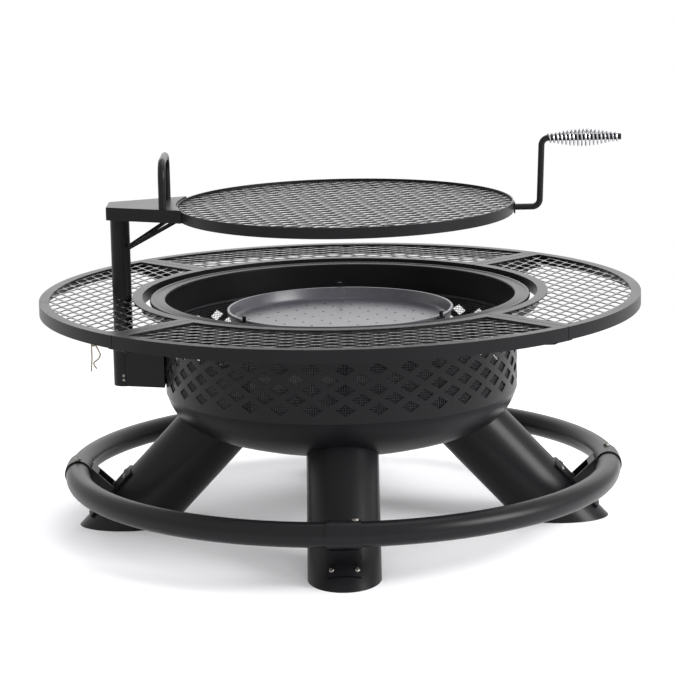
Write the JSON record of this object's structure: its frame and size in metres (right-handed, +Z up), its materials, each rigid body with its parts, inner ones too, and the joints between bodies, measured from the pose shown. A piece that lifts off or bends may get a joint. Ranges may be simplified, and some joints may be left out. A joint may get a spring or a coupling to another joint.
{
  "type": "fire pit with grate",
  "caption": "Round steel fire pit with a diamond lattice wall, a ring table of expanded metal, a tubular foot rail and a swinging cooking grate on a post.",
  "frame": {"origin": "on the ground under the centre of the bowl", "axes": "+Z up, +X from the grill's post through the bowl's centre to the sprung handle, -Y towards the front leg"},
  "size_m": [1.2, 1.2, 0.7914],
  "materials": {
    "black_paint": "satin black powder coat",
    "screen_paint": "matt black heat paint on fine mesh",
    "mesh_paint": "satin black powder coat on expanded metal",
    "pan_steel": "bare rolled steel",
    "zinc": "zinc plated",
    "spring_steel": "bright plated spring wire"
  },
  "bodies": {
    "stand": {"bowl_wall": "black_paint", "bowl_rim": "black_paint", "bowl_base": "black_paint", "spark_screen": "screen_paint", "leg_right": "black_paint", "rail_bracket_right": "black_paint", "rail_bolt_right": "zinc", "table_frame_right": "black_paint", "table_mesh_right": "mesh_paint", "leg_back": "black_paint", "rail_bracket_back": "black_paint", "rail_bolt_back": "zinc", "table_frame_back": "black_paint", "table_mesh_back": "mesh_paint", "leg_left": "black_paint", "rail_bracket_left": "black_paint", "rail_bolt_left": "zinc", "table_frame_left": "black_paint", "table_mesh_left": "mesh_paint", "leg_front": "black_paint", "rail_bracket_front": "black_paint", "rail_bolt_front": "zinc", "table_frame_front": "black_paint", "table_mesh_front": "mesh_paint", "foot_rail_back_right": "black_paint", "table_arm_back_right": "black_paint", "foot_rail_back_left": "black_paint", "table_arm_back_left": "black_paint", "foot_rail_front_left": "black_paint", "table_arm_front_left": "black_paint", "foot_rail_front_right": "black_paint", "table_arm_front_right": "black_paint", "post_sleeve": "black_paint", "sleeve_bracket": "black_paint", "sleeve_screw_1": "zinc", "sleeve_screw_2": "zinc"},
    "washer": {"thrust_washer": "zinc"},
    "grill": {"post": "black_paint", "grill_carrier": "black_paint", "brace_rod_front": "black_paint", "brace_rod_back": "black_paint", "lift_handle": "black_paint", "grill_ring": "black_paint", "grill_mesh": "mesh_paint", "handle_plate": "black_paint", "crank_handle": "black_paint", "spring_grip": "spring_steel"},
    "pin": {"height_pin": "zinc"},
    "clip": {"pin_ring": "zinc", "hairpin_clip": "zinc"},
    "pan": {"charcoal_pan": "pan_steel", "pan_leg_1": "black_paint", "pan_leg_2": "black_paint", "pan_leg_3": "black_paint"}
  },
  "joints": [
    {"name": "grill_swing", "type": "hinge", "parent": "stand", "child": "washer", "pos_m": [-0.436, 0, 0.386], "axis": [0, 0, 1], "range_deg": [-120, 120]},
    {"name": "grill_lift", "type": "slide", "parent": "washer", "child": "grill", "axis": [0, 0, 1], "range_m": [0, 0.04]},
    {"name": "pin_pull", "type": "slide", "parent": "grill", "child": "pin", "axis": [-1, 0, 0], "range_m": [0, 0.06]},
    {"name": "clip_swing", "type": "hinge", "parent": "pin", "child": "clip", "pos_m": [-0.497, 0, 0.3926], "axis": [0, 1, 0], "range_deg": [-15, 30]},
    {"name": "pan_lift", "type": "slide", "parent": "stand", "child": "pan", "axis": [0, 0, 1], "range_m": [0, 0.15]}
  ]
}
